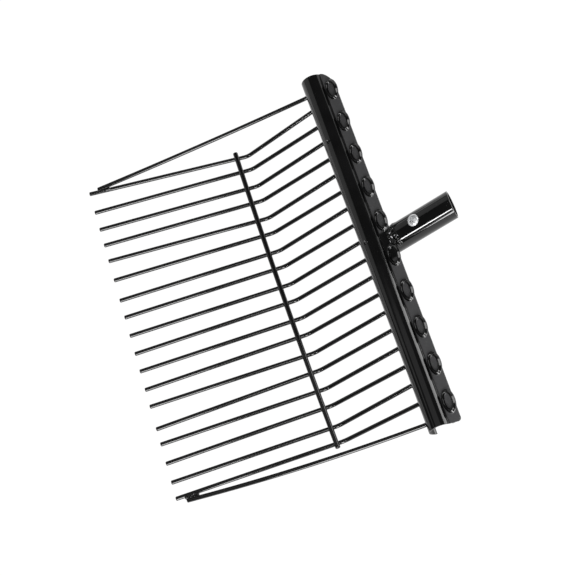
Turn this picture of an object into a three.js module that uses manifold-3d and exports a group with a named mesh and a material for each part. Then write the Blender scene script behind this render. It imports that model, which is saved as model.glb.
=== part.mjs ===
// Head of a wire-tined manure fork: a pressed sheet bar, ten hairpin wires that form the tines and
// the side braces, a cross rod, and a tube socket with its screw. Lengths are millimetres.
// X runs along the head from the first tine to the last, +Y from the tips to the socket, +Z up.
import * as THREE from "three";
import { mergeVertices } from "three/addons/utils/BufferGeometryUtils.js";
import Module from "manifold-3d";

const wasm = await Module();
wasm.setup();

// Wires
const wireDiameter = 4.8;
const wirePitch = 22;
const hairpinCount = 10;
const tipLength = 190.1;
const rootLength = 111.8;
const kneeAngle = THREE.MathUtils.degToRad(31.7);
const kneeRadius = 18;
const tipTaper = 3;
const tipTaperShare = 0.55;
const loopCornerRadius = 8;
const loopInset = 2;

// Sideways lie of each tine as a share of the pitch, at its bend and at its tip
const kneeSwayShares = [
  0.09, -0.08, -0.01, -0.1, -0.01, -0.1, -0.01, -0.07, -0.01,
  -0.06, -0.03, -0.08, -0.01, -0.04, -0.01, -0.07, 0.02, -0.14,
];
const tipSwayShares = [
  -0.55, -0.37, -0.31, -0.34, -0.38, -0.22, -0.01, -0.01, 0.06,
  0.1, 0.1, 0.14, 0.08, 0.32, 0.15, 0.19, 0.2, 0.05,
];

// Side braces
const braceEndInset = 11;
const braceBendOutside = 3;
const braceBendRadius = 8;
const braceSeatAngles = [65, 15].map(THREE.MathUtils.degToRad);
const braceWeldLength = 13;
const braceWeldWidth = 5;

// Cross rod
const crossRodDiameter = 4.8;
const crossRodFarOverhang = 4.2;
const crossRodNearOverhang = 4.4;
const crossRodFromKnee = 10.7;
const crossRodSkew = THREE.MathUtils.degToRad(0.48);

// Head shell
const sheet = 1.5;
const noseRadius = 13.3;
const hookEndAngle = THREE.MathUtils.degToRad(220);
const farEndMargin = 12.3;
const nearEndMargin = 15.8;
const nearEndFlare = 2.3;
const nearFlareFront = 12;
const flangeRear = 26.8;
const farCorner = { alongHead: 23, acrossFlange: 13.5, roundness: 1.5 };
const nearCorner = { alongHead: 3.5, acrossFlange: 3.5, roundness: 2 };
const drainHoleDiameter = 3;
const drainHoleAngle = THREE.MathUtils.degToRad(96);
const drainHolePitches = [-6.08, -0.04];

// Ring beads on the flange, a little to one side of the wire loops under them
const ringShift = 2.8;
const ringRear = 20.7;
const ringOuter = { alongHead: 13.5, acrossFlange: 7.4 };
const ringInner = { alongHead: 8.5, acrossFlange: 3.4 };
const ringHeight = 2.8;
const ringRound = 1.2;

// Backing strips and the pads inside the wire loops
const stripFront = 13;
const stripEdgeMargin = 1;
const stripRearMargin = 4.6;
const padEndClearance = 1;
const padDepth = 8.4;

// Socket
const socketRadius = 15.1;
const socketWall = 1.8;
const socketFront = 14;
const socketMouth = 97.8;
const socketMouthSlant = THREE.MathUtils.degToRad(15);
const socketShift = 0.8;
const screwRear = 55;
const screwHeadDiameter = 13.4;
const screwHeadHeight = 3.6;
const screwShankDiameter = 5;
const screwShankLength = 9;
const weldBeadDiameter = 5;
const weldBeadHalfAngle = THREE.MathUtils.degToRad(58);
const weldBeadSteps = 12;
const weldCap = { alongHead: 6.5, acrossFlange: 6, height: 2.4 };

// Fits
const seatGap = 0.3;
const overrun = 5;

// Facets
const wireSides = 8;
const holeSides = 12;
const arcStep = THREE.MathUtils.degToRad(9);
const socketSides = 40;
const ovalSegments = 9;

const wireRadius = wireDiameter / 2;
const tineCount = 2 * hairpinCount - 2;
const halfSpan = (wirePitch * (2 * hairpinCount - 1)) / 2;
const headEnds = { far: -halfSpan - farEndMargin, near: halfSpan + nearEndMargin };
const flangeUnder = wireRadius + seatGap;
const flangeTop = flangeUnder + sheet;
const stripTop = -flangeUnder;
const stripUnder = stripTop - sheet;
const loopRear = ringRear + ringOuter.acrossFlange - wireRadius - loopInset;
const socketDrop = Math.sqrt((socketRadius + wireRadius + seatGap) ** 2 - (wirePitch / 2 - socketShift) ** 2);
const stripInnerEnd = Math.sqrt(socketRadius ** 2 - (socketDrop + stripUnder) ** 2) + seatGap;

const paint = { color: 0x151517, roughness: 0.32, metalness: 0 };
const zinc = { color: 0xd9dbde, roughness: 0.22, metalness: 1 };

function solidOf(geometry) {
  const bare = geometry.clone();
  bare.deleteAttribute("normal");
  bare.deleteAttribute("uv");
  const merged = mergeVertices(bare);
  const vertProperties = Float32Array.from(merged.attributes.position.array);
  const triVerts = Uint32Array.from(merged.index.array);
  return new wasm.Manifold(new wasm.Mesh({ numProp: 3, vertProperties, triVerts }));
}

function geometryOf(solid) {
  const mesh = solid.getMesh();
  const geometry = new THREE.BufferGeometry();
  geometry.setAttribute("position", new THREE.BufferAttribute(mesh.vertProperties, 3));
  geometry.setIndex(new THREE.BufferAttribute(mesh.triVerts, 1));
  geometry.computeVertexNormals();
  return geometry;
}

function meshOf(name, geometry, finish) {
  const mesh = new THREE.Mesh(geometry, new THREE.MeshStandardMaterial(finish));
  mesh.name = name;
  return mesh;
}

// A regular polygon with a corner on each axis.
function polygon(radius, sides) {
  const corners = [];
  for (let i = 0; i < sides; i++) {
    const angle = (i / sides) * 2 * Math.PI;
    corners.push(new THREE.Vector2(radius * Math.cos(angle), radius * Math.sin(angle)));
  }
  return new THREE.Shape(corners);
}

function prism(shape, depth, options = {}) {
  return new THREE.ExtrudeGeometry(shape, { depth, bevelEnabled: false, steps: 1, ...options });
}

// Stands a shape drawn in the plane across the head (right is back, up is up) and extrudes it along X.
const acrossHead = new THREE.Matrix4().makeBasis(
  new THREE.Vector3(0, 1, 0),
  new THREE.Vector3(0, 0, 1),
  new THREE.Vector3(1, 0, 0),
);

// Turns a prism that was extruded along Z so that it runs along Y, its shape's up staying up.
const alongDepth = new THREE.Matrix4().makeBasis(
  new THREE.Vector3(-1, 0, 0),
  new THREE.Vector3(0, 0, 1),
  new THREE.Vector3(0, 1, 0),
);

// A curve whose even steps fall on given stations, so that straight runs take one step.
class StationCurve extends THREE.Curve {
  constructor(stations) {
    super();
    this.stations = stations;
  }
  getPointAt(share, target = new THREE.Vector3()) {
    const index = Math.round(share * (this.stations.length - 1));
    return target.copy(this.stations[index]);
  }
  getTangentAt(share, target = new THREE.Vector3()) {
    const index = Math.round(share * (this.stations.length - 1));
    const here = this.stations[index];
    const before = this.stations[Math.max(index - 1, 0)];
    const after = this.stations[Math.min(index + 1, this.stations.length - 1)];
    const arriving = here.clone().sub(before).normalize();
    const leaving = after.clone().sub(here).normalize();
    return target.copy(arriving.add(leaving)).normalize();
  }
}

// Stations along a polyline whose inner corners are rounded, each to its own radius.
function roundedStations(corners) {
  const stations = [corners[0].at];
  for (let i = 1; i < corners.length - 1; i++) {
    const here = corners[i].at;
    const back = corners[i - 1].at.clone().sub(here).normalize();
    const ahead = corners[i + 1].at.clone().sub(here).normalize();
    const turn = Math.PI - back.angleTo(ahead);
    const reach = corners[i].radius * Math.tan(turn / 2);
    if (reach === 0) {
      stations.push(here);
      continue;
    }
    const inward = back.clone().add(ahead).normalize();
    const centre = here.clone().addScaledVector(inward, corners[i].radius / Math.cos(turn / 2));
    const start = here.clone().addScaledVector(back, reach).sub(centre);
    const end = here.clone().addScaledVector(ahead, reach).sub(centre);
    const axis = start.clone().cross(end).normalize();
    const steps = Math.max(2, Math.ceil(turn / arcStep));
    for (let s = 0; s <= steps; s++)
      stations.push(start.clone().applyAxisAngle(axis, (turn * s) / steps).add(centre));
  }
  stations.push(corners[corners.length - 1].at);
  return stations;
}

function wireGeometry(stations, radius, sides = wireSides) {
  return new THREE.ExtrudeGeometry(polygon(radius, sides), {
    steps: stations.length - 1,
    extrudePath: new StationCurve(stations),
  });
}

// Draws the ring of corners round one end of a wire inwards, which blunts the tip to a cone.
function taperEnd(geometry, end) {
  const position = geometry.attributes.position;
  const corner = new THREE.Vector3();
  for (let i = 0; i < position.count; i++) {
    corner.fromBufferAttribute(position, i);
    if (corner.distanceTo(end) > (wireRadius + tipTaper) / 2) continue;
    corner.lerp(end, 1 - tipTaperShare);
    position.setXYZ(i, corner.x, corner.y, corner.z);
  }
  return geometry;
}

// The head's own frame: its origin is the centre of the round nose, +Y runs back along the flange.
const head = new THREE.Group();
head.position.set(0, rootLength * Math.cos(kneeAngle), rootLength * Math.sin(kneeAngle));
head.rotation.x = kneeAngle;
head.updateMatrix();

const inHead = (x, rear, rise) => new THREE.Vector3(x, rear, rise).applyMatrix4(head.matrix);
const wirePlace = (position) => wirePitch * (position - (2 * hairpinCount - 1) / 2);
const kneeOf = (tine) =>
  new THREE.Vector3(wirePlace(tine) + wirePitch * kneeSwayShares[tine - 1], 0, 0);
const tipOf = (tine) =>
  new THREE.Vector3(wirePlace(tine) + wirePitch * tipSwayShares[tine - 1], -tipLength, 0);

// Tip and bend of a tine, from its tip inwards.
function tineCorners(tine) {
  const knee = kneeOf(tine);
  const tip = tipOf(tine);
  const shoulder = tip.clone().add(knee.clone().sub(tip).setLength(tipTaper));
  return [
    { at: tip, radius: 0 },
    { at: shoulder, radius: 0 },
    { at: knee, radius: kneeRadius },
  ];
}

// Where a brace ends: beside the outer tine, touching it at the seat angle above its outer side.
function braceEnd(tine, outward, seatAngle) {
  const knee = kneeOf(tine);
  const tip = tipOf(tine);
  const end = tip.clone().add(knee.sub(tip).setLength(braceEndInset));
  const reach = wireDiameter + seatGap;
  end.x += outward * reach * Math.cos(seatAngle);
  end.z += reach * Math.sin(seatAngle);
  return end;
}

function braceCorners(position, outward) {
  const tine = position === 0 ? 1 : tineCount;
  const end = braceEnd(tine, outward, braceSeatAngles[position === 0 ? 0 : 1]);
  const bend = inHead(wirePlace(position), -noseRadius - braceBendOutside, 0);
  const shoulder = end.clone().add(bend.clone().sub(end).setLength(tipTaper));
  return [
    { at: end, radius: 0 },
    { at: shoulder, radius: 0 },
    { at: bend, radius: braceBendRadius },
  ];
}

function armCorners(position) {
  if (position === 0) return braceCorners(position, -1);
  if (position > tineCount) return braceCorners(position, 1);
  return tineCorners(position);
}

// The corners of one hairpin: in along one arm, round the loop behind the nose, out along the other.
function hairpinCorners(pair) {
  const left = armCorners(2 * pair);
  const right = armCorners(2 * pair + 1);
  const loop = [2 * pair, 2 * pair + 1].map((position) => ({
    at: inHead(wirePlace(position), loopRear, 0),
    radius: loopCornerRadius,
  }));
  const entries = [2 * pair, 2 * pair + 1].map((position) => ({
    at: inHead(wirePlace(position), -noseRadius, 0),
    radius: 0,
  }));
  return [...left, entries[0], loop[0], loop[1], entries[1], ...right.reverse()];
}

function hairpinWire(pair) {
  const corners = hairpinCorners(pair);
  const geometry = wireGeometry(roundedStations(corners), wireRadius);
  taperEnd(geometry, corners[0].at);
  taperEnd(geometry, corners[corners.length - 1].at);
  return geometry;
}

// Fillet of weld metal in the crook between a brace and the outer tine, shaped by both wires.
function braceWeld(pair, tine, outward, seatAngle) {
  const end = braceEnd(tine, outward, seatAngle);
  const onTine = end.clone();
  onTine.x -= outward * wireDiameter * Math.cos(seatAngle);
  onTine.z -= wireDiameter * Math.sin(seatAngle);
  const middle = end.clone().add(onTine).multiplyScalar(1 / 2);
  middle.x -= outward * wireRadius * Math.sin(seatAngle);
  middle.z += wireRadius * Math.cos(seatAngle);
  middle.y += braceWeldLength / 2;
  const bead = new THREE.SphereGeometry(braceWeldWidth / 2, holeSides, holeSides / 2);
  bead.scale(1, braceWeldLength / braceWeldWidth, 1);
  bead.translate(middle.x, middle.y, middle.z);
  const around = wireGeometry(roundedStations(hairpinCorners(pair)), wireRadius + seatGap);
  return geometryOf(solidOf(bead).subtract(solidOf(around)));
}

// A cutter that stands across the bar, from under the hooked edge to above the flange.
function standingCutter(outline) {
  const cutter = prism(outline, 2 * (noseRadius + overrun));
  cutter.translate(0, 0, -noseRadius - overrun);
  return solidOf(cutter);
}

// A cutter for one rear corner of the flange or of a strip: what lies outside a quarter oval, or
// outside a flatter curve where the corner's roundness is less than that of an oval.
function cornerCutter(end, side, rear, corner) {
  const centreX = end - side * corner.alongHead;
  const centreY = rear - corner.acrossFlange;
  const outline = new THREE.Shape();
  outline.moveTo(centreX, rear + overrun);
  outline.lineTo(end + side * overrun, rear + overrun);
  outline.lineTo(end + side * overrun, centreY);
  for (let i = 0; i <= ovalSegments; i++) {
    const angle = (i / ovalSegments) * (Math.PI / 2);
    const along = Math.max(Math.cos(angle), 0) ** (2 / corner.roundness);
    const across = Math.sin(angle) ** (2 / corner.roundness);
    outline.lineTo(centreX + side * corner.alongHead * along, centreY + corner.acrossFlange * across);
  }
  return standingCutter(outline);
}

// What comes off the near end so that its edge slants outwards over the flange.
function flareCutter() {
  const outline = new THREE.Shape();
  const noseEnd = headEnds.near - nearEndFlare;
  outline.moveTo(noseEnd, -noseRadius - overrun);
  outline.lineTo(headEnds.near + overrun, -noseRadius - overrun);
  outline.lineTo(headEnds.near + overrun, flangeRear - nearCorner.acrossFlange);
  outline.lineTo(headEnds.near, flangeRear - nearCorner.acrossFlange);
  outline.lineTo(noseEnd, nearFlareFront);
  return standingCutter(outline);
}

// A straight cutter along the flange's depth, for the wire holes.
function wireHole(position) {
  const radius = (wireRadius + seatGap) / Math.cos(Math.PI / holeSides);
  const hole = prism(polygon(radius, holeSides), noseRadius);
  hole.applyMatrix4(alongDepth);
  hole.translate(wirePlace(position), -noseRadius - overrun, 0);
  return solidOf(hole);
}

function drainHole(pitches) {
  const hole = prism(polygon(drainHoleDiameter / 2, wireSides), noseRadius);
  hole.rotateX(drainHoleAngle - Math.PI / 2);
  const inside = noseRadius - sheet - overrun;
  hole.translate(
    pitches * wirePitch,
    inside * Math.cos(drainHoleAngle),
    inside * Math.sin(drainHoleAngle),
  );
  return solidOf(hole);
}

// Section of the shell: flange, round nose and the hooked edge under it, one sheet thick.
function shellSection() {
  const innerRadius = noseRadius - sheet;
  const outerStart = Math.asin(flangeTop / noseRadius);
  const innerStart = Math.asin(flangeUnder / innerRadius);
  const section = new THREE.Shape();
  section.moveTo(flangeRear, flangeTop);
  section.lineTo(noseRadius * Math.cos(outerStart), flangeTop);
  section.absarc(0, 0, noseRadius, outerStart, hookEndAngle, false);
  section.absarc(0, 0, innerRadius, hookEndAngle, innerStart, true);
  section.lineTo(flangeRear, flangeUnder);
  section.closePath();
  return section;
}

function oval(half) {
  return new THREE.Shape().absellipse(0, 0, half.alongHead, half.acrossFlange, 0, 2 * Math.PI, false, 0);
}

const grown = (half, by) => ({ alongHead: half.alongHead + by, acrossFlange: half.acrossFlange + by });

// One raised ring: a long oval bead with rounded edges round a flat eye.
function ringBead(pair) {
  const outline = oval(grown(ringOuter, -ringRound));
  outline.holes.push(oval(grown(ringInner, ringRound)));
  const bead = prism(outline, flangeTop + ringHeight - flangeUnder - 2 * ringRound, {
    bevelEnabled: true,
    bevelSize: ringRound,
    bevelThickness: ringRound,
    bevelSegments: 2,
    curveSegments: ovalSegments,
  });
  bead.translate(wirePlace(2 * pair + 1 / 2) + ringShift, ringRear, flangeUnder + ringRound);
  return solidOf(bead);
}

function headShell() {
  const bar = prism(shellSection(), headEnds.near - headEnds.far, { curveSegments: holeSides });
  bar.applyMatrix4(acrossHead);
  bar.translate(headEnds.far, 0, 0);
  let shell = solidOf(bar);
  shell = shell.subtract(cornerCutter(headEnds.far, -1, flangeRear, farCorner));
  shell = shell.subtract(cornerCutter(headEnds.near, 1, flangeRear, nearCorner));
  shell = shell.subtract(flareCutter());
  for (let position = 0; position < 2 * hairpinCount; position++)
    shell = shell.subtract(wireHole(position));
  for (const pitches of drainHolePitches) shell = shell.subtract(drainHole(pitches));
  for (let pair = 0; pair < hairpinCount; pair++) shell = shell.add(ringBead(pair));
  return geometryOf(shell);
}

// A strip behind the flange. Its pads are pressed up inside the wire loops, hollow from behind.
function backingStrip(side) {
  const outerEnd = side < 0 ? headEnds.far + stripEdgeMargin : headEnds.near - nearEndFlare - stripEdgeMargin;
  const innerEnd = socketShift + side * stripInnerEnd;
  const rear = flangeRear - stripRearMargin;
  const plate = new THREE.BoxGeometry(Math.abs(outerEnd - innerEnd), rear - stripFront, sheet);
  plate.translate((outerEnd + innerEnd) / 2, (rear + stripFront) / 2, stripTop - sheet / 2);
  let strip = solidOf(plate);
  strip = strip.subtract(cornerCutter(outerEnd, side, rear, side < 0 ? farCorner : nearCorner));
  const padRear = loopRear - wireRadius - padEndClearance - padDepth / 2;
  const pad = { alongHead: wirePitch / 2 - wireRadius - padEndClearance, acrossFlange: padDepth / 2 };
  const padTop = flangeUnder - seatGap;
  for (let pair = 0; pair < hairpinCount; pair++) {
    const x = wirePlace(2 * pair + 1 / 2);
    if (Math.sign(x) !== side) continue;
    const boss = prism(oval(pad), padTop - stripTop + sheet / 2, { curveSegments: ovalSegments });
    boss.translate(x, padRear, stripTop - sheet / 2);
    const pocket = prism(oval(grown(pad, -sheet)), padTop - stripTop + overrun, { curveSegments: ovalSegments });
    pocket.translate(x, padRear, stripUnder - overrun);
    strip = strip.add(solidOf(boss)).subtract(solidOf(pocket));
  }
  return geometryOf(strip);
}

function socketCylinder(radius, from, to) {
  const cylinder = prism(polygon(radius, socketSides), to - from);
  cylinder.applyMatrix4(alongDepth);
  cylinder.translate(socketShift, from, -socketDrop);
  return solidOf(cylinder);
}

function socketTube() {
  const longest = socketMouth + socketRadius * Math.tan(socketMouthSlant) + overrun;
  let tube = socketCylinder(socketRadius, socketFront, longest);
  tube = tube.subtract(socketCylinder(socketRadius - socketWall, socketFront - overrun, longest + overrun));
  const trim = new THREE.BoxGeometry(4 * socketRadius, 2 * socketRadius, 4 * socketRadius);
  trim.translate(0, socketRadius, 0);
  trim.rotateX(-socketMouthSlant);
  trim.translate(0, socketMouth, -socketDrop);
  tube = tube.subtract(solidOf(trim));
  const hole = prism(polygon(screwShankDiameter / 2 + seatGap, holeSides), socketRadius);
  hole.translate(socketShift, screwRear, -socketDrop + socketRadius / 2);
  return geometryOf(tube.subtract(solidOf(hole)));
}

// Domed screw: the profile runs from the point up the shank and over the head.
function socketScrew() {
  const headRadius = screwHeadDiameter / 2;
  const shank = screwShankDiameter / 2;
  const dome = new THREE.EllipseCurve(0, 0, headRadius, screwHeadHeight, 0, Math.PI / 2).getPoints(5);
  const profile = [
    new THREE.Vector2(0, -screwShankLength - shank),
    new THREE.Vector2(shank, -screwShankLength),
    new THREE.Vector2(shank, 0),
    ...dome,
  ];
  profile[profile.length - 1].x = 0;
  const screw = new THREE.LatheGeometry(profile, 2 * holeSides);
  screw.rotateX(Math.PI / 2);
  screw.translate(socketShift, screwRear, socketRadius - socketDrop + seatGap);
  return screw;
}

// The part of the weld that runs over the rear edge onto the top of the flange.
function weldOnFlange(rear) {
  const cap = new THREE.SphereGeometry(1, 2 * holeSides, holeSides);
  cap.scale(weldCap.alongHead, weldCap.acrossFlange, weldCap.height);
  cap.translate(ringShift, rear - weldCap.acrossFlange / 2, flangeTop + seatGap);
  const under = new THREE.BoxGeometry(4 * weldCap.alongHead, flangeRear + seatGap, flangeTop + seatGap);
  under.translate(0, (flangeRear + seatGap) / 2, (flangeTop + seatGap) / 2);
  return solidOf(cap).subtract(solidOf(under));
}

// Weld between socket and flange: metal between the two wires under the flange, a bead behind it, and
// a cap on top.
function socketWeld() {
  const halfWidth = wirePitch / 2 - wireRadius - seatGap;
  const top = flangeUnder - seatGap;
  const behind = flangeRear + seatGap + weldBeadDiameter / 2;
  const fill = new THREE.BoxGeometry(2 * halfWidth, behind - socketFront, socketRadius);
  fill.translate(0, (behind + socketFront) / 2, top - socketRadius / 2);
  const reach = socketRadius + seatGap + weldBeadDiameter / 4;
  const rear = behind + seatGap + wireRadius / 2;
  const stations = [];
  for (let i = 0; i <= weldBeadSteps; i++) {
    const angle = ((2 * i) / weldBeadSteps - 1) * weldBeadHalfAngle;
    const x = socketShift + reach * Math.sin(angle);
    stations.push(new THREE.Vector3(x, rear, reach * Math.cos(angle) - socketDrop));
  }
  const bead = solidOf(wireGeometry(stations, weldBeadDiameter / 2));
  const around = socketCylinder(socketRadius + seatGap, socketFront - overrun, socketMouth);
  return geometryOf(solidOf(fill).add(bead).add(weldOnFlange(rear)).subtract(around));
}

function crossRod() {
  const length = (tineCount - 1) * wirePitch + crossRodFarOverhang + crossRodNearOverhang;
  const rod = new THREE.CylinderGeometry(crossRodDiameter / 2, crossRodDiameter / 2, length, 2 * wireSides);
  rod.rotateZ(Math.PI / 2);
  return rod;
}

// Angle that brings the fork to rest: a line under the bends of the tines and the front of the socket.
function restAngle() {
  const bendCentre = new THREE.Vector2(-kneeRadius * Math.tan(kneeAngle / 2), kneeRadius);
  const heel = inHead(0, socketFront, -socketDrop - socketRadius);
  const span = new THREE.Vector2(heel.y, heel.z).sub(bendCentre);
  return span.angle() + Math.asin((kneeRadius + wireRadius) / span.length());
}

head.add(meshOf("head_shell", headShell(), paint));
head.add(meshOf("backing_strip_left", backingStrip(-1), paint));
head.add(meshOf("backing_strip_right", backingStrip(1), paint));
head.add(meshOf("socket_tube", socketTube(), paint));
head.add(meshOf("socket_screw", socketScrew(), zinc));
head.add(meshOf("socket_weld", socketWeld(), paint));

const fork = new THREE.Group();
fork.add(head);
for (let pair = 0; pair < hairpinCount; pair++) {
  const number = String(pair + 1).padStart(2, "0");
  fork.add(meshOf(`hairpin_wire_${number}`, hairpinWire(pair), paint));
}
const rod = meshOf("cross_rod", crossRod(), paint);
rod.position.set(
  (crossRodNearOverhang - crossRodFarOverhang) / 2,
  -crossRodFromKnee,
  wireRadius + crossRodDiameter / 2 + seatGap,
);
rod.rotation.z = crossRodSkew;
fork.add(rod);
fork.add(meshOf("brace_weld_01", braceWeld(0, 1, -1, braceSeatAngles[0]), paint));
fork.add(meshOf("brace_weld_10", braceWeld(hairpinCount - 1, tineCount, 1, braceSeatAngles[1]), paint));
fork.rotation.x = -restAngle();

// The fork stands on the plane z = 0 with the origin under the middle of its outline.
const manureFork = new THREE.Group();
manureFork.add(fork);
manureFork.updateMatrixWorld(true);
const extent = new THREE.Box3().setFromObject(manureFork, true);
const middle = extent.getCenter(new THREE.Vector3());
fork.position.set(-middle.x, -middle.y, -extent.min.z);

export default manureFork;
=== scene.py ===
"""Looks of a wire-tined manure fork head: smooth wires, a pressed sheet bar with ring beads, a welded
socket tube with a zinc screw, and gloss black paint. Lengths are metres, angles radians."""

import math

import bmesh
import bpy
from mathutils import Matrix, Vector


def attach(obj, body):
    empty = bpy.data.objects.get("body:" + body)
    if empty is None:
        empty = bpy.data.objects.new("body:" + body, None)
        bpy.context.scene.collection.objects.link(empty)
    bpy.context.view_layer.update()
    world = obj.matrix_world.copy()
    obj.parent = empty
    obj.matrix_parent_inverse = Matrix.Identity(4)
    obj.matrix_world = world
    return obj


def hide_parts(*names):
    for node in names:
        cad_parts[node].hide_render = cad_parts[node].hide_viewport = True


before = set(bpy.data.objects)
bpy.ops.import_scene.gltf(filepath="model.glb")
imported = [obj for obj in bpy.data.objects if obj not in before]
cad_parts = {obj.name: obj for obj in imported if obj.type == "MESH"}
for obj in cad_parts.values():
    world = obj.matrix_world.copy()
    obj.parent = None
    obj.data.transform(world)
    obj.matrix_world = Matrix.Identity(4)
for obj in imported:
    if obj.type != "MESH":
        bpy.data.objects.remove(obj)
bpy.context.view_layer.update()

MM = 0.001

# Sizes of the fork. Most are those of its CAD model. These differ a little from it: the wires' ends,
# the cross rod's thickness, bow, place and skew, the braces' leans and bows, the tines' lean at the
# tips, the ring beads' height, the dimples, and the tube's radius, mouth, shift and drop.
WIRE = 4.8 * MM
PITCH = 22 * MM
PAIRS = 10
TIP_LENGTH = 190.1 * MM
ROOT_LENGTH = 111.8 * MM
KNEE_ANGLE = math.radians(31.7)
KNEE_RADIUS = 18 * MM
LOOP_RADIUS = 8 * MM
LOOP_INSET = 2 * MM
KNEE_SWAY = (
    0.09, -0.08, -0.01, -0.1, -0.01, -0.1, -0.01, -0.07, -0.01,
    -0.06, -0.03, -0.08, -0.01, -0.04, -0.01, -0.07, 0.02, -0.14,
)
TIP_SWAY = (
    -0.55, -0.37, -0.31, -0.34, -0.38, -0.22, -0.01, -0.01, 0.06,
    0.1, 0.1, 0.14, 0.08, 0.32, 0.15, 0.19, 0.2, 0.05,
)
TIP_LEAN = 0.4 * MM
WIRE_END = 1.0 * MM
END_ROUNDING = ((0.93, 0.45), (0.76, 0.8), (0.45, 1.0))
SUPPORT = 0.2 * MM
BEND_STEP = 12 * MM
BEND_TURN = math.radians(5)
STRAIGHT = 1e-5
BRACE_INSET = 11 * MM
BRACE_BEND_OUTSIDE = 3 * MM
BRACE_BEND_RADIUS = 8 * MM
BRACE_SEATS = (math.radians(65), math.radians(15))
BRACE_ROOT_LEANS = (1.9 * MM, 1.5 * MM)
BRACE_TIP_LEANS = (1.4 * MM, 1.3 * MM)
BRACE_BOWS = (1.1 * MM, 2.9 * MM)
SEAT_GAP = 0.3 * MM
ROD = 5.7 * MM
ROD_BOW = 1.6 * MM
BOW_SHARE = 0.85
ROD_FAR = 4.2 * MM
ROD_NEAR = 4.4 * MM
ROD_LENGTH = (2 * PAIRS - 3) * PITCH + ROD_FAR + ROD_NEAR
ROD_MIDDLE = (ROD_NEAR - ROD_FAR) / 2
ROD_FROM_KNEE = 11.0 * MM
ROD_SKEW = math.radians(0.63)
CROSSING_WELD = (1.12, 1.1, 0.4)
SHEET = 1.5 * MM
SHEET_EDGE = 0.35 * MM
NOSE = 13.3 * MM
HOOK_END = math.radians(220)
CREASE = 1.1 * MM
FAR_END = -221.3 * MM
NEAR_END = 224.8 * MM
NEAR_FLARE = 2.3 * MM
FLARE_FRONT = 12 * MM
FLANGE_REAR = 26.8 * MM
FLANGE_TOP = WIRE / 2 + SEAT_GAP + SHEET
FAR_CORNER = (23 * MM, 13.5 * MM, 1.5)
NEAR_CORNER = (3.5 * MM, 3.5 * MM, 2)
CORNER_STEPS = 24
CUT_MARGIN = 5 * MM
SUPPORT_INSET = 1.0 * MM
DRAIN_PLACES = (-6.08 * PITCH, -0.04 * PITCH)
DRAIN_ANGLE = math.radians(96)
DRAIN_HOLE = 3 * MM
DIMPLE = 3.2 * MM
DIMPLE_OUT = 1.8 * MM
RING_SHIFT = 2.8 * MM
RING_REAR = 20.7 * MM
RING_OUTER = (13.5 * MM, 7.4 * MM)
RING_INNER = (8.5 * MM, 3.4 * MM)
RING_HEIGHT = 2.7 * MM
RING_FOOT = -0.35 * MM
RING_SHAPE = (
    (1.14, 0.02), (1.04, 0.08), (0.8, 0.3), (0.55, 0.55), (0.32, 0.78), (0.16, 0.91), (0.02, 0.98),
    (-0.12, 1.0), (-0.26, 0.95), (-0.4, 0.82), (-0.6, 0.54), (-0.8, 0.25), (-0.95, 0.07), (-1.05, 0.02),
)
TUBE = 15.6 * MM
TUBE_WALL = 1.8 * MM
TUBE_FRONT = 14 * MM
TUBE_MOUTH = 97.5 * MM
MOUTH_SLANT = math.radians(15)
TUBE_SHIFT = 0.1 * MM
TUBE_DROP = 14.09 * MM
TUBE_OVERRUN = 12 * MM
TUBE_EDGE = 0.4 * MM
SCREW_REAR = 55 * MM
SCREW_HEAD = 13.4 * MM
SCREW_HEIGHT = 3.6 * MM
SCREW_EDGE = 0.4 * MM
SCREW_RECESS = (7.0 * MM, 1.8 * MM, 4.8 * MM)
SCREW_TURN = 0.35
SHANK_RADIUS = 2.5 * MM
SHANK_LENGTH = 9 * MM

# Weld metal: where its lumps lie, their half sizes and how rough they are
LUMP_GRAIN = 2.2 * MM
SEAM_TURNS = [math.radians(-60 + 10 * index) for index in range(13)]
SEAM_ROWS = ((0.6 * MM, 1.0 * MM, 1.7 * MM), (3.0 * MM, 0.7 * MM, 0.9 * MM))
SEAM_LUMP = (2.6 * MM, 3.0 * MM)
SEAM_ROUGH = 0.25 * MM
TOP_LUMPS = [
    (x * MM, back * MM)
    for x, back in ((-2.6, 0.4), (-0.6, 3.4), (1.4, 0.8), (3.6, 4.2), (5.2, 1.4), (8.4, 2.6), (11.6, 0.8))
]
TOP_LUMP = (2.3 * MM, 2.3 * MM, 1.2 * MM)
TOP_RISE = 0.1 * MM
TOP_ROUGH = 0.4 * MM
BRACE_LUMPS = (1.5 * MM, 5.0 * MM, 9.0 * MM, 12.0 * MM)
BRACE_LUMP = (2.3 * MM, 2.8 * MM, 1.9 * MM)
BRACE_ROUGH = 0.6 * MM

# Zones of the bar's paint, in the head's frame: the flange's rougher part, which also gets a painted lit
# grey, and the stretch by the socket weld, left glossy black; and depths of the fine relief in each paint
MATT_AND_PAINTED_LIGHT_FROM = (12.6 * MM, 14.4 * MM)
MATT_AND_PAINTED_LIGHT_ABOVE = (2.0 * MM, 3.5 * MM)
BY_WELD_FROM = (-8 * MM, -4 * MM)
BY_WELD_TO = (27 * MM, 31 * MM)
RING_PAINT = (FLANGE_TOP + 0.15 * MM, FLANGE_TOP + 0.7 * MM)
PEEL_DEPTH = 0.05 * MM
SHEET_DEPTH = 0.03 * MM
WELD_DEPTH = 0.5 * MM
ZINC_DEPTH = 0.02 * MM

# Where the frames of the tines, the head and the socket lie in the part's frame
REST_TILT = math.radians(19.1842)
KNEE_PLACE = (-1.75 * MM, -14.2405 * MM, 1.7203 * MM)
FORK = Matrix.Translation(KNEE_PLACE) @ Matrix.Rotation(-REST_TILT, 4, "X")
HEAD = (
    FORK
    @ Matrix.Translation((0, ROOT_LENGTH * math.cos(KNEE_ANGLE), ROOT_LENGTH * math.sin(KNEE_ANGLE)))
    @ Matrix.Rotation(KNEE_ANGLE, 4, "X")
)
IN_FORK = FORK.inverted() @ HEAD
SOCKET = HEAD @ Matrix.Translation((TUBE_SHIFT, 0, 0))

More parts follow.
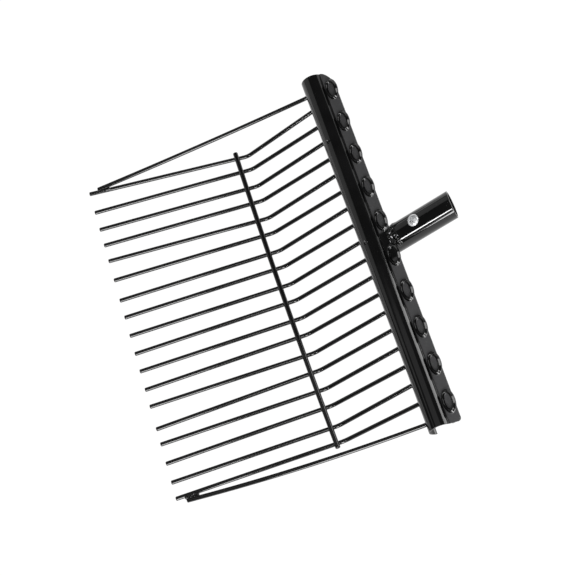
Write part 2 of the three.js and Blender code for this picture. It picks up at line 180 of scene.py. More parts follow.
# Studio: each soft box has an azimuth, elevation, distance, size, radiance and roll
LAMP_AIM = Vector((0, 0.03, 0.05))
LAMPS = (
    ("left_box", -136, 34, 3.0, (2.2, 1.8), 0.5, 0),
    ("rear_box", 99.5, 15, 3.0, (1.4, 1.6), 5.0, 0),
    ("right_box", -6.5, 14.5, 1.56, (0.36, 1.05), 15.0, -19),
    ("strip_box", -28.5, 27, 3.0, (0.36, 0.3), 40.0, 0),
    ("small_box", 32, 38, 3.0, (1.0, 1.0), 11.0, 0),
    ("top_box", 0, 88, 3.0, (2.6, 2.6), 0.4, 0),
)
WORLD_LEVEL = 0.07
FLOOR_RADIUS = 5.2
FLOOR_CURVE = 0.8
FLOOR_STEP = math.radians(11)
FLOOR_STEPS = 8
FLOOR_COLOUR = (0.8, 0.8, 0.8, 1)
FLOOR_GLOW = 1.09
FLOOR_GLOW_SHARE = 0.92
CAMERA_RIGHT = Vector((0.291667, 0.874811, -0.386828))
CAMERA_DOWN = Vector((0.863725, -0.414637, -0.286454))
CAMERA_AHEAD = Vector((-0.410986, -0.250564, -0.876532))
CAMERA_PLACE = (0.684056, 0.404267, 1.48266)
CAMERA_SENSOR = 36
CAMERA_LENS = 93.75
CAMERA_REACH = 50


# Materials


class Value:
    """A number that varies over the surface, written with the usual operators."""

    def __init__(self, nodes, socket):
        self.nodes = nodes
        self.socket = socket

    def _maths(self, operation, *operands):
        return self.nodes.add("ShaderNodeMath", {"operation": operation}, *operands)

    def __add__(self, other):
        return self._maths("ADD", self, other)

    def __radd__(self, other):
        return self._maths("ADD", other, self)

    def __sub__(self, other):
        return self._maths("SUBTRACT", self, other)

    def __rsub__(self, other):
        return self._maths("SUBTRACT", other, self)

    def __mul__(self, other):
        return self._maths("MULTIPLY", self, other)

    def __rmul__(self, other):
        return self._maths("MULTIPLY", other, self)

    def most(self, other):
        return self._maths("MAXIMUM", self, other)

    def rise(self, low, high):
        """0 below low, 1 above high, smooth between."""
        settings = {"interpolation_type": "SMOOTHSTEP"}
        return self.nodes.add("ShaderNodeMapRange", settings, self, low, high, 0.0, 1.0)


class Finish:
    """One material's node tree."""

    def __init__(self, name):
        self.material = bpy.data.materials.new(name)
        self.material.use_nodes = True
        self.tree = self.material.node_tree
        self.tree.nodes.clear()

    def add(self, kind, settings=None, *inputs, output=0, **named):
        node = self.tree.nodes.new(kind)
        for key, value in (settings or {}).items():
            setattr(node, key, value)
        for index, value in enumerate(inputs):
            self._feed(node.inputs[index], value)
        for key, value in named.items():
            self._feed(node.inputs[key.replace("_", " ")], value)
        return Value(self, node.outputs[output])

    def _feed(self, socket, value):
        if isinstance(value, Value):
            self.tree.links.new(value.socket, socket)
        elif value is not None:
            socket.default_value = value

    def place(self, frame_matrix=None):
        """Object coordinates, in the part's frame or in a frame of its own."""
        coordinates = self.add("ShaderNodeTexCoord", output=3)
        if frame_matrix is None:
            return coordinates
        back = frame_matrix.inverted()
        return self.add(
            "ShaderNodeMapping",
            {"vector_type": "POINT"},
            Vector=coordinates,
            Location=back.to_translation(),
            Rotation=back.to_euler(),
        )

    def axes(self, place):
        split = self.tree.nodes.new("ShaderNodeSeparateXYZ")
        self._feed(split.inputs[0], place)
        return [Value(self, socket) for socket in split.outputs]

    def noise(self, place, scale, detail=2.0, roughness=0.5):
        return self.add(
            "ShaderNodeTexNoise", None, Vector=place, Scale=scale, Detail=detail, Roughness=roughness
        )

    def mix(self, share, first, second):
        node = self.tree.nodes.new("ShaderNodeMix")
        node.data_type = "RGBA"
        self._feed(node.inputs[0], share)
        self._feed(node.inputs[6], first)
        self._feed(node.inputs[7], second)
        return Value(self, node.outputs[2])

    def bump(self, height, strength, distance):
        return self.add("ShaderNodeBump", None, Strength=strength, Distance=distance, Height=height)

    def surface(self, **named):
        shader = self.add("ShaderNodeBsdfPrincipled", None, **named)
        self.output(shader)
        return self.material

    def output(self, shader):
        node = self.tree.nodes.new("ShaderNodeOutputMaterial")
        self._feed(node.inputs[0], shader)


def grey(level):
    return (level, level, level * 1.03, 1.0)


def gloss_paint(name):
    """Gloss black paint over wire or tube: faint orange peel, soft less glossy patches, a few dust specks.
    """
    finish = Finish(name)
    place = finish.place()
    patches = finish.noise(place, scale=38.0, detail=3.0)
    peel = finish.noise(place, scale=900.0, detail=2.0)
    specks = finish.noise(place, scale=420.0, detail=1.0).rise(0.74, 0.8)
    colour = finish.mix(patches.rise(0.35, 0.75), grey(0.0028), grey(0.006))
    colour = finish.mix(specks, colour, grey(0.03))
    return finish.surface(
        Base_Color=colour,
        Roughness=0.08 + 0.04 * (patches - 0.5) + 0.1 * specks,
        Normal=finish.bump(peel + specks, 0.015, PEEL_DEPTH),
    )


def sheet_paint(name):
    """Paint of the pressed bar: glossy on nose, rings and by the socket weld, rougher on the flange, where
    a lighter grey is painted in for the light that the flat face catches.
    """
    finish = Finish(name)
    place = finish.place(HEAD)
    along, back, up = finish.axes(place)
    patches = finish.noise(place, scale=26.0, detail=4.0)
    grain = finish.noise(place, scale=620.0, detail=3.0, roughness=0.6)
    flat = back.rise(*MATT_AND_PAINTED_LIGHT_FROM) * up.rise(*MATT_AND_PAINTED_LIGHT_ABOVE)
    by_weld = along.rise(*BY_WELD_FROM) * (1 - along.rise(*BY_WELD_TO))
    ring = up.rise(*RING_PAINT)
    matt_and_painted_light = flat * (1 - ring) * (1 - by_weld)
    colour = finish.mix(patches.rise(0.35, 0.7), grey(0.003), grey(0.006))
    # A lighter grey painted on the flat of the flange stands in for the light it catches; the rougher
    # finish there is its own. The rings and the stretch by the weld get no painted grey.
    colour = finish.mix(matt_and_painted_light, colour, grey(0.07))
    colour = finish.mix(grain.rise(0.62, 0.72) * matt_and_painted_light, colour, grey(0.1))
    return finish.surface(
        Base_Color=colour,
        Roughness=0.1 + 0.05 * (patches - 0.5) + 0.35 * matt_and_painted_light,
        Normal=finish.bump(grain, 0.12, SHEET_DEPTH),
    )


def weld_paint(name):
    """Painted weld metal: lumpy ripples under gloss paint, with a few bright specks painted in as glints.
    """
    finish = Finish(name)
    place = finish.place()
    lumps = finish.noise(place, scale=330.0, detail=3.0, roughness=0.55)
    ripples = finish.add(
        "ShaderNodeTexVoronoi", {"feature": "SMOOTH_F1"}, Vector=place, Scale=420.0, Smoothness=0.6
    )
    # Small bright specks painted on the weld as glints of light.
    painted_glints = finish.noise(place, scale=400.0, detail=1.0).rise(0.67, 0.69)
    colour = finish.mix(lumps.rise(0.4, 0.7), grey(0.002), grey(0.005))
    colour = finish.mix(painted_glints, colour, grey(0.75))
    return finish.surface(
        Base_Color=colour,
        Roughness=0.24 - 0.14 * lumps.rise(0.45, 0.6),
        Normal=finish.bump(lumps + 0.8 * ripples, 0.25, WELD_DEPTH),
    )


def bright_zinc(name):
    """Bright zinc plating with a fine grain and small darker, rougher spots."""
    finish = Finish(name)
    place = finish.place(HEAD)
    spots = finish.noise(place, scale=700.0, detail=2.0)
    fine = finish.noise(place, scale=2600.0, detail=2.0)
    colour = finish.mix(spots.rise(0.4, 0.7), (0.9, 0.91, 0.92, 1), (0.62, 0.63, 0.64, 1))
    return finish.surface(
        Base_Color=colour,
        Metallic=0.5,
        Roughness=0.12 + 0.12 * spots,
        Normal=finish.bump(fine, 0.15, ZINC_DEPTH),
    )


# Modelling helpers


def deselect():
    for obj in bpy.context.selected_objects:
        obj.select_set(False)


def only(obj):
    deselect()
    obj.select_set(True)
    bpy.context.view_layer.objects.active = obj


def begin(name):
    """Names the primitive just added, settles its place into its mesh and opens it for editing."""
    obj = bpy.context.object
    obj.name = name
    bpy.ops.object.transform_apply(location=True, rotation=True, scale=True)
    bpy.ops.object.mode_set(mode="EDIT")
    bpy.ops.mesh.select_all(action="SELECT")
    return obj


def end_edit():
    bpy.ops.object.mode_set(mode="OBJECT")


def pick_points(obj, test):
    """Selects the points whose place passes the test."""
    bpy.ops.mesh.select_all(action="DESELECT")
    bpy.ops.mesh.select_mode(type="VERT")
    mesh = bmesh.from_edit_mesh(obj.data)
    for vert in mesh.verts:
        vert.select = test(vert.co)
    mesh.select_flush_mode()
    bmesh.update_edit_mesh(obj.data)


def pick_open_edges(obj):
    bpy.ops.mesh.select_all(action="DESELECT")
    bpy.ops.mesh.select_mode(type="EDGE")
    mesh = bmesh.from_edit_mesh(obj.data)
    for edge in mesh.edges:
        edge.select = edge.is_boundary
    mesh.select_flush_mode()
    bmesh.update_edit_mesh(obj.data)


def extrude_by(step):
    bpy.ops.mesh.extrude_edges_move(TRANSFORM_OT_translate={"value": step})


def spin_by(turn, centre, axis, steps):
    bpy.ops.mesh.spin(steps=steps, angle=-turn, center=centre, axis=axis)


def support_cut(at, facing):
    """A ring of edges that keeps the shading of the long stretch behind it true."""
    bpy.ops.mesh.select_all(action="SELECT")
    bpy.ops.mesh.bisect(plane_co=at, plane_no=facing)


def modifier(obj, kind, **settings):
    only(obj)
    added = obj.modifiers.new(kind.lower(), kind)
    for key, value in settings.items():
        setattr(added, key, value)
    bpy.ops.object.modifier_apply(modifier=added.name)


def cut(obj, cutter):
    modifier(obj, "BOOLEAN", object=cutter, operation="DIFFERENCE", solver="EXACT")
    bpy.data.objects.remove(cutter)


def soften(obj, width, sharp):
    """Rounds the edges that are sharper than an angle."""
    modifier(obj, "BEVEL", width=width, segments=3, limit_method="ANGLE", angle_limit=math.radians(sharp))


def face_outwards(inside=False):
    bpy.ops.mesh.select_all(action="SELECT")
    bpy.ops.mesh.normals_make_consistent(inside=inside)


def joined(name, objects):
    only(objects[0])
    for obj in objects[1:]:
        obj.select_set(True)
    bpy.ops.object.join()
    bpy.context.object.name = name
    return bpy.context.object


def copy_at(obj, step):
    twin = obj.copy()
    twin.data = obj.data.copy()
    twin.data.transform(Matrix.Translation(step))
    bpy.context.scene.collection.objects.link(twin)
    return twin


def finish_piece(obj, material, node, place, smooth=math.radians(35)):
    """Puts a piece modelled in another frame into the part's frame and dresses it."""
    obj.data.transform(place)
    only(obj)
    bpy.ops.object.mode_set(mode="EDIT")
    face_outwards()
    end_edit()
    bpy.ops.object.shade_smooth_by_angle(angle=smooth)
    obj.data.materials.clear()
    obj.data.materials.append(material)
    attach(obj, "root")
    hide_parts(node)


# Wires


def wire_x(position):
    return PITCH * (position - (2 * PAIRS - 1) / 2)


def knee_of(tine):
    return Vector((wire_x(tine) + PITCH * KNEE_SWAY[tine - 1], 0, 0))


def tip_of(tine):
    return Vector((wire_x(tine) + PITCH * TIP_SWAY[tine - 1] + TIP_LEAN, -TIP_LENGTH, 0))


def brace_end(tine, outward, seat):
    knee = knee_of(tine)
    tip = tip_of(tine)
    end = tip + (knee - tip).normalized() * BRACE_INSET
    reach = WIRE + SEAT_GAP
    lean = BRACE_TIP_LEANS[0 if outward < 0 else 1]
    return end + Vector((outward * reach * math.cos(seat) + lean, 0, reach * math.sin(seat)))


def root_x(position):
    """x where a wire goes through the nose; the two braces lean a little to the near side."""
    if position == 0:
        return wire_x(position) + BRACE_ROOT_LEANS[0]
    if position == 2 * PAIRS - 1:
        return wire_x(position) + BRACE_ROOT_LEANS[1]
    return wire_x(position)


def bow_radius(start, middle, end):
    """Radius of the long bow of a wire that is drawn over a slight corner."""
    turn = (middle - start).angle(end - middle)
    return BOW_SHARE * (end - start).length / 2 / math.tan(turn / 2)


def arm(position):
    """Corners of one arm of a hairpin from its free end inwards, each with its bend radius."""
    if 1 <= position <= 2 * PAIRS - 2:
        return [(tip_of(position), 0), (knee_of(position), KNEE_RADIUS)]
    first = position == 0
    end = brace_end(1, -1, BRACE_SEATS[0]) if first else brace_end(2 * PAIRS - 2, 1, BRACE_SEATS[1])
    bend = IN_FORK @ Vector((root_x(position), -NOSE - BRACE_BEND_OUTSIDE, 0))
    bow = (end + bend) / 2 + Vector((2 * BRACE_BOWS[0 if first else 1], 0, 0))
    return [(end, 0), (bow, bow_radius(end, bow, bend)), (bend, BRACE_BEND_RADIUS)]


def hairpin_corners(pair):
    positions = (2 * pair, 2 * pair + 1)
    entry = [(IN_FORK @ Vector((root_x(p), -NOSE, 0)), KNEE_RADIUS) for p in positions]
    rear = RING_REAR + RING_OUTER[1] - WIRE / 2 - LOOP_INSET
    loop = [(IN_FORK @ Vector((wire_x(p), rear, 0)), LOOP_RADIUS) for p in positions]
    first, second = (arm(p) for p in positions)
    return [*first, entry[0], loop[0], loop[1], entry[1], *reversed(second)]


def round_end(at, inward, radius):
    """Rounds the open end of a wire over to a small flat, as sheared and painted wire ends are."""
    for share, back in END_ROUNDING:
        extrude_by((0, 0, 0))
        mesh = bmesh.from_edit_mesh(bpy.context.object.data)
        ring = [vert for vert in mesh.verts if vert.select]
        middle = sum((vert.co for vert in ring), Vector()) / len(ring)
        now = (ring[0].co - middle).length
        target = at + inward * (1.0 - back) * WIRE_END
        bpy.ops.transform.translate(value=target - middle)
        size = share * radius / now
        bpy.ops.transform.resize(value=(size, size, size), center_override=target)
    bpy.ops.mesh.edge_face_add()


def wire(name, corners, diameter=WIRE, sides=24):
    """A round wire drawn from corner to corner; short rings by each bend keep its shading true."""
    points = [corner[0] for corner in corners]
    direction = (points[1] - points[0]).normalized()
    deselect()
    start = points[0] + direction * WIRE_END
    bpy.ops.mesh.primitive_circle_add(
        vertices=sides,
        radius=diameter / 2,
        location=start,
        rotation=direction.to_track_quat("Z", "Y").to_euler(),
    )
    obj = begin(name)
    extrude_by(direction * SUPPORT)
    here = start + direction * SUPPORT
    for index in range(1, len(points) - 1):
        arriving = (points[index] - points[index - 1]).normalized()
        leaving = (points[index + 1] - points[index]).normalized()
        turn = arriving.angle(leaving)
        if turn < STRAIGHT:
            continue
        radius = corners[index][1]
        reach = radius * math.tan(turn / 2)
        bend_start = points[index] - arriving * reach
        extrude_by(bend_start - arriving * SUPPORT - here)
        extrude_by(arriving * SUPPORT)
        axis = arriving.cross(leaving).normalized()
        steps = max(1, math.ceil(turn / BEND_TURN), math.ceil(turn * radius / BEND_STEP))
        spin_by(turn, bend_start + axis.cross(arriving) * radius, axis, steps)
        extrude_by(leaving * SUPPORT)
        here = points[index] + leaving * (reach + SUPPORT)
    last = (points[-2] - points[-1]).normalized()
    extrude_by(points[-1] + last * (WIRE_END + SUPPORT) - here)
    extrude_by(-last * SUPPORT)
    round_end(points[-1], last, diameter / 2)
    pick_open_edges(obj)
    round_end(points[0], direction, diameter / 2)
    end_edit()
    return obj


def rod_y(x):
    """y of the cross rod, in front of the bend of the tines; it bows a little towards the tips."""
    share = (x - ROD_MIDDLE) / (ROD_LENGTH / 2)
    return -ROD_FROM_KNEE + math.tan(ROD_SKEW) * (x - ROD_MIDDLE) - ROD_BOW * (1 - share * share)


def cross_rod():
    height = WIRE / 2 + ROD / 2 + SEAT_GAP
    ends = [ROD_MIDDLE - ROD_LENGTH / 2, ROD_MIDDLE + ROD_LENGTH / 2]
    start, end = (Vector((x, rod_y(x), height)) for x in ends)
    middle = Vector((ROD_MIDDLE, rod_y(ROD_MIDDLE) - ROD_BOW, height))
    corners = [(start, 0), (middle, bow_radius(start, middle, end)), (end, 0)]
    return wire("dressed_cross_rod", corners, diameter=ROD, sides=28)


def crossing_weld(tine):
    """Squeezed-out metal where the cross rod is welded to a tine."""
    knee = knee_of(tine)
    tip = tip_of(tine)
    x = knee.x + (tip.x - knee.x) * ROD_FROM_KNEE / TIP_LENGTH
    y = rod_y(x)
    deselect()
    bpy.ops.mesh.primitive_uv_sphere_add(
        segments=16,
        ring_count=8,
        radius=WIRE / 2,
        location=(x, y, WIRE / 2 + SEAT_GAP / 2),
        scale=CROSSING_WELD,
        rotation=(0, 0, tine * 1.3),
    )
    obj = begin(f"crossing_weld_{tine:02d}")
    end_edit()
    return obj


# Head


def sheet_bar():
    """The bar's outer skin: flange, crease and round nose, drawn as one edge along the head and swept."""
    start = math.asin((FLANGE_TOP + CREASE) / (NOSE + CREASE))
    crease_at = (NOSE + CREASE) * math.cos(start)
    deselect()
    length = NEAR_END - FAR_END
    middle = (NEAR_END + FAR_END) / 2
    bpy.ops.mesh.primitive_plane_add(size=length, location=(middle, FLANGE_REAR, FLANGE_TOP))
    obj = begin("dressed_head_shell")
    pick_points(obj, lambda place: place.y > FLANGE_REAR)
    bpy.ops.mesh.delete(type="VERT")
    bpy.ops.mesh.select_all(action="SELECT")
    bpy.ops.transform.translate(value=(0, length / 2, 0))
    bpy.ops.mesh.select_mode(type="EDGE")
    bpy.ops.mesh.select_all(action="SELECT")
    extrude_by(Vector((0, crease_at - FLANGE_REAR, 0)))
    spin_by(math.pi / 2 - start, (0, crease_at, FLANGE_TOP + CREASE), (-1, 0, 0), 6)
    spin_by(HOOK_END - start, (0, 0, 0), (1, 0, 0), 72)
    support_cut((FAR_END + SUPPORT_INSET, 0, 0), (1, 0, 0))
    support_cut((NEAR_END - NEAR_FLARE - SUPPORT_INSET, 0, 0), (1, 0, 0))
    end_edit()
    return obj


def standing_block(name, corners):
    """A block over a plan outline, taller than the bar, built up from its first edge."""
    deselect()
    bpy.ops.mesh.primitive_circle_add(vertices=len(corners), radius=1, fill_type="NOTHING")
    obj = begin(name)
    bpy.ops.mesh.select_mode(type="VERT")
    for index, (x, y) in enumerate(corners):
        bpy.ops.mesh.select_all(action="DESELECT")
        mesh = bmesh.from_edit_mesh(obj.data)
        mesh.verts.ensure_lookup_table()
        mesh.verts[index].select = True
        step = Vector((x, y, -2 * NOSE)) - mesh.verts[index].co
        bmesh.update_edit_mesh(obj.data)
        bpy.ops.transform.translate(value=step)
    bpy.ops.mesh.select_all(action="SELECT")
    bpy.ops.mesh.edge_face_add()
    bpy.ops.mesh.extrude_region_move(TRANSFORM_OT_translate={"value": (0, 0, 4 * NOSE)})
    face_outwards()
    end_edit()
    return obj


def corner_block(end, side, corner):
    """What lies outside the rounded rear corner of the flange."""
    along, across, roundness = corner
    x, y = end - side * along, FLANGE_REAR - across
    past_end, past_rear = end + side * CUT_MARGIN, FLANGE_REAR + CUT_MARGIN
    corners = [(x, past_rear), (past_end, past_rear), (past_end, y)]
    for step in range(CORNER_STEPS + 1):
        turn = step / CORNER_STEPS * math.pi / 2
        reach = abs(math.cos(turn)) ** (2 / roundness)
        depth = math.sin(turn) ** (2 / roundness)
        corners.append((x + side * along * reach, y + across * depth))
    return standing_block("corner_block", corners)


def flare_block():
    """What comes off the near end so that its edge slants outwards over the flange."""
    nose_end = NEAR_END - NEAR_FLARE
    corner_front = FLANGE_REAR - NEAR_CORNER[1]
    return standing_block(
        "flare_block",
        [
            (nose_end, -NOSE - CUT_MARGIN),
            (NEAR_END + CUT_MARGIN, -NOSE - CUT_MARGIN),
            (NEAR_END + CUT_MARGIN, corner_front),
            (NEAR_END, corner_front),
            (nose_end, FLARE_FRONT),
        ],
    )


def ring_bead():
    """One pressed ring: its oval outline is drawn over the crest to the flat eye, ring by ring."""
    middle = [(o + i) / 2 for o, i in zip(RING_OUTER, RING_INNER)]
    half = [(o - i) / 2 for o, i in zip(RING_OUTER, RING_INNER)]
    crest = [(share, RING_HEIGHT * rise) for share, rise in RING_SHAPE]
    steps = [(1.28, RING_FOOT), *crest, (-1.2, RING_FOOT)]
    deselect()
    bpy.ops.mesh.primitive_circle_add(vertices=72, radius=1, location=(0, 0, 0))
    obj = begin("ring_bead")
    bpy.ops.mesh.select_mode(type="EDGE")
    bpy.ops.mesh.select_all(action="SELECT")
    size = [1.0, 1.0]
    height = 0.0
    for index, (share, rise) in enumerate(steps):
        if index:
            extrude_by((0, 0, 0))
        wanted = [middle[0] + half[0] * share, middle[1] + half[1] * share]
        factor = (wanted[0] / size[0], wanted[1] / size[1], 1)
        bpy.ops.transform.resize(value=factor, center_override=(0, 0, 0))
        bpy.ops.transform.translate(value=(0, 0, rise - height))
        size, height = wanted, rise
    end_edit()
    obj.data.transform(Matrix.Translation((wire_x(0.5) + RING_SHIFT, RING_REAR, FLANGE_TOP)))
    return obj


def head_shell():
    """The pressed bar with its wire holes, its two drain holes in their dimples and its ten ring beads."""
    shell = sheet_bar()
    modifier(shell, "SOLIDIFY", thickness=SHEET, offset=-1.0, use_even_offset=True)
    only(shell)
    bpy.ops.object.mode_set(mode="EDIT")
    face_outwards()
    end_edit()
    cut(shell, corner_block(FAR_END, -1, FAR_CORNER))
    cut(shell, corner_block(NEAR_END, 1, NEAR_CORNER))
    cut(shell, flare_block())
    soften(shell, SHEET_EDGE, 50)
    for position in range(2 * PAIRS):
        deselect()
        bpy.ops.mesh.primitive_cylinder_add(
            vertices=32,
            radius=WIRE / 2 + SEAT_GAP,
            depth=NOSE,
            location=(root_x(position), -NOSE, 0),
            rotation=(math.pi / 2, 0, 0),
        )
        cut(shell, bpy.context.object)
    for x in DRAIN_PLACES:
        deselect()
        out = NOSE + DIMPLE_OUT
        bpy.ops.mesh.primitive_uv_sphere_add(
            segments=32,
            ring_count=16,
            radius=DIMPLE,
            location=(x, out * math.cos(DRAIN_ANGLE), out * math.sin(DRAIN_ANGLE)),
        )
        cut(shell, bpy.context.object)
        deselect()
        bpy.ops.mesh.primitive_cylinder_add(
            vertices=32,
            radius=DRAIN_HOLE / 2,
            depth=NOSE / 2,
            location=(x, NOSE * math.cos(DRAIN_ANGLE), NOSE * math.sin(DRAIN_ANGLE)),
            rotation=(DRAIN_ANGLE - math.pi / 2, 0, 0),
        )
        cut(shell, bpy.context.object)
    first = ring_bead()
    beads = [first, *(copy_at(first, (2 * PITCH * pair, 0, 0)) for pair in range(1, PAIRS))]
    return joined("dressed_head_shell", [shell, *beads])


# Socket


def socket_tube():
    """The tube for the handle, cut off at a slant at its mouth."""
    length = TUBE_MOUTH + TUBE_OVERRUN - TUBE_FRONT
    slanted = (0, math.cos(MOUTH_SLANT), -math.sin(MOUTH_SLANT))
    deselect()
    bpy.ops.mesh.primitive_cylinder_add(
        vertices=96,
        radius=TUBE,
        depth=length,
        end_fill_type="NOTHING",
        location=(0, TUBE_FRONT + length / 2, -TUBE_DROP),
        rotation=(math.pi / 2, 0, 0),
    )
    obj = begin("dressed_socket_tube")
    bpy.ops.mesh.bisect(
        plane_co=(0, TUBE_MOUTH, -TUBE_DROP),
        plane_no=slanted,
        clear_outer=True,
    )
    support_cut((0, TUBE_MOUTH - SUPPORT_INSET, -TUBE_DROP), slanted)
    support_cut((0, TUBE_FRONT + SUPPORT_INSET, -TUBE_DROP), (0, 1, 0))
    end_edit()
    modifier(obj, "SOLIDIFY", thickness=TUBE_WALL, offset=-1.0, use_even_offset=True)
    soften(obj, TUBE_EDGE, 50)
    return obj


def socket_screw():
    """Domed screw with a cross recess and a plain shank."""
    base = TUBE - TUBE_DROP + SEAT_GAP / 2
    deselect()
    bpy.ops.mesh.primitive_uv_sphere_add(segments=64, ring_count=32, radius=SCREW_HEAD / 2)
    head = begin("dressed_socket_screw")
    bpy.ops.mesh.bisect(plane_co=(0, 0, 0), plane_no=(0, 0, 1), clear_inner=True, use_fill=True)
    bpy.ops.mesh.select_all(action="SELECT")
    bpy.ops.transform.resize(value=(1, 1, 2 * SCREW_HEIGHT / SCREW_HEAD), center_override=(0, 0, 0))
    end_edit()
    soften(head, SCREW_EDGE, 60)
    for turn in (SCREW_TURN, SCREW_TURN + math.pi / 2):
        deselect()
        bpy.ops.mesh.primitive_cube_add(
            size=1,
            location=(0, 0, SCREW_HEIGHT),
            scale=SCREW_RECESS,
            rotation=(0, 0, turn),
        )
        cut(head, bpy.context.object)
    deselect()
    bpy.ops.mesh.primitive_cylinder_add(
        vertices=32, radius=SHANK_RADIUS, depth=SHANK_LENGTH, location=(0, 0, -SHANK_LENGTH / 2)
    )
    shank = bpy.context.object
    bpy.ops.object.transform_apply(location=True, rotation=True, scale=True)
    piece = joined("dressed_socket_screw", [head, shank])
    piece.data.transform(Matrix.Translation((0, SCREW_REAR, base)))
    return piece


def lump(name, location, scale, seed, rough, turn=0):
    """A blob of weld metal, its round form roughened by smooth moves of its points."""
    deselect()
    bpy.ops.mesh.primitive_ico_sphere_add(
        subdivisions=4, radius=1, location=location, scale=scale, rotation=(0, turn, 0)
    )
    obj = begin(name)
    end_edit()
    texture = bpy.data.textures.new(name, "CLOUDS")
    texture.noise_scale = LUMP_GRAIN
    obj.data.transform(Matrix.Translation((seed, 0, 0)))
    modifier(obj, "DISPLACE", texture=texture, strength=rough, mid_level=0.5, texture_coords="LOCAL")
    obj.data.transform(Matrix.Translation((-seed, 0, 0)))
    return obj


def socket_weld():
    """Weld metal between flange and socket: two rows of lumps round the tube, and some on the flange."""
    blobs = []
    for index, turn in enumerate(SEAM_TURNS):
        for back, sunk, thick in SEAM_ROWS:
            reach = TUBE - sunk
            at = (reach * math.sin(turn), FLANGE_REAR + back, reach * math.cos(turn) - TUBE_DROP)
            seed = 0.013 * index + 10 * back
            blobs.append(lump(f"weld_{index}", at, (*SEAM_LUMP, thick), seed, SEAM_ROUGH, turn))
    for index, (x, back) in enumerate(TOP_LUMPS):
        at = (x, FLANGE_REAR - back, FLANGE_TOP + TOP_RISE)
        blobs.append(lump(f"weld_top_{index}", at, TOP_LUMP, 0.2 + 0.017 * index, TOP_ROUGH))
    return joined("dressed_socket_weld", blobs)


def brace_weld(name, tine, outward, seat):
    """Lumps of weld metal that tie a brace to the outer tine."""
    end = brace_end(tine, outward, seat)
    on_tine = end - Vector((outward * WIRE * math.cos(seat), 0, WIRE * math.sin(seat)))
    middle = (end + on_tine) / 2 + Vector((-outward * math.sin(seat), 0, math.cos(seat))) * WIRE / 3
    blobs = []
    for index, back in enumerate(BRACE_LUMPS):
        at = middle + Vector((0, back, 0))
        blobs.append(lump(f"{name}_{index}", at, BRACE_LUMP, 0.4 + 0.021 * index, BRACE_ROUGH))
    return joined(name, blobs)


# Pieces

wire_paint = gloss_paint("wire_paint")
tube_paint = gloss_paint("tube_paint")
bar_paint = sheet_paint("bar_paint")
seam_paint = weld_paint("weld_paint")
zinc = bright_zinc("screw_zinc")

for pair in range(PAIRS):
    number = f"{pair + 1:02d}"
    piece = wire(f"dressed_hairpin_wire_{number}", hairpin_corners(pair))
    finish_piece(piece, wire_paint, f"hairpin_wire_{number}", FORK)

rod_and_welds = [cross_rod(), *(crossing_weld(tine) for tine in range(1, 2 * PAIRS - 1))]
finish_piece(joined("dressed_cross_rod", rod_and_welds), wire_paint, "cross_rod", FORK)
finish_piece(head_shell(), bar_paint, "head_shell", HEAD)
finish_piece(socket_tube(), tube_paint, "socket_tube", SOCKET)
finish_piece(socket_screw(), zinc, "socket_screw", SOCKET)
finish_piece(socket_weld(), seam_paint, "socket_weld", SOCKET, math.radians(80))
for name, tine, outward, seat in (
    ("brace_weld_01", 1, -1, BRACE_SEATS[0]),
    ("brace_weld_10", 2 * PAIRS - 2, 1, BRACE_SEATS[1]),
):
    piece = brace_weld("dressed_" + name, tine, outward, seat)
    finish_piece(piece, seam_paint, name, FORK, math.radians(80))
for side in ("left", "right"):
    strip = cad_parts[f"backing_strip_{side}"]
    strip.data.materials.clear()
    strip.data.materials.append(tube_paint)


# Studio


def lamp(name, azimuth, elevation, distance, size, radiance, roll):
    """A soft box that faces the fork; its angles are degrees and its brightness is a radiance."""
    round_z, up = math.radians(azimuth), math.radians(elevation)
    along = Vector((math.cos(round_z) * math.cos(up), math.sin(round_z) * math.cos(up), math.sin(up)))
    data = bpy.data.lights.new(name, "AREA")
    data.shape = "RECTANGLE"
    data.size, data.size_y = size
    data.energy = radiance * math.pi * size[0] * size[1]
    obj = bpy.data.objects.new(name, data)
    bpy.context.scene.collection.objects.link(obj)
    obj.location = LAMP_AIM + along * distance
    turn = along.to_track_quat("Z", "Y").to_matrix() @ Matrix.Rotation(math.radians(roll), 3, "Z")
    obj.rotation_euler = turn.to_euler()


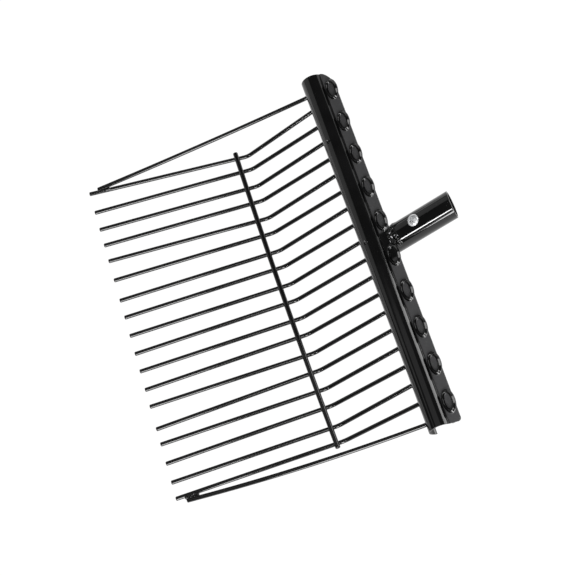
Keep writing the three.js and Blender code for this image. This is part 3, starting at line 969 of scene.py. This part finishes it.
def studio_floor():
    """Pale floor that curves up at its edge into a low backdrop."""
    deselect()
    bpy.ops.mesh.primitive_circle_add(vertices=96, radius=FLOOR_RADIUS, fill_type="NGON")
    floor = begin("floor")
    pick_open_edges(floor)
    for turn in range(FLOOR_STEPS):
        low, high = FLOOR_STEP * turn, FLOOR_STEP * (turn + 1)
        extrude_by((0, 0, 0))
        before = FLOOR_RADIUS + FLOOR_CURVE * math.sin(low)
        reach = FLOOR_RADIUS + FLOOR_CURVE * math.sin(high)
        bpy.ops.transform.resize(value=(reach / before, reach / before, 1), center_override=(0, 0, 0))
        bpy.ops.transform.translate(value=(0, 0, FLOOR_CURVE * (math.cos(low) - math.cos(high))))
    extrude_by((0, 0, FLOOR_CURVE))
    face_outwards(inside=True)
    end_edit()
    bpy.ops.object.shade_smooth_by_angle(angle=math.radians(30))
    finish = Finish("pale_floor")
    seen = finish.add("ShaderNodeLightPath", output=0)
    glossy = finish.add("ShaderNodeLightPath", output=3)
    passing = finish.add("ShaderNodeLightPath", output=6)
    share = seen.most(glossy).most(passing)
    plain = finish.add("ShaderNodeBsdfDiffuse", None, Color=FLOOR_COLOUR)
    white = finish.add("ShaderNodeEmission", None, Color=(1, 1, 1, 1), Strength=FLOOR_GLOW)
    mixed = finish.add("ShaderNodeMixShader", None, share * FLOOR_GLOW_SHARE, plain, white)
    finish.output(mixed)
    floor.data.materials.clear()
    floor.data.materials.append(finish.material)


for settings in LAMPS:
    lamp(*settings)
studio_floor()

world = bpy.data.worlds.new("studio")
bpy.context.scene.world = world
world.use_nodes = True
background = world.node_tree.nodes["Background"]
background.inputs["Color"].default_value = (1, 1, 1, 1)
background.inputs["Strength"].default_value = WORLD_LEVEL

camera_data = bpy.data.cameras.new("camera")
camera_data.sensor_width = CAMERA_SENSOR
camera_data.lens = CAMERA_LENS
camera_data.clip_end = CAMERA_REACH
camera = bpy.data.objects.new("camera", camera_data)
bpy.context.scene.collection.objects.link(camera)
facing = Matrix((CAMERA_RIGHT, -CAMERA_DOWN, -CAMERA_AHEAD)).transposed().to_4x4()
camera.matrix_world = Matrix.Translation(CAMERA_PLACE) @ facing
bpy.context.scene.camera = camera
bpy.context.scene.view_settings.view_transform = "Standard"
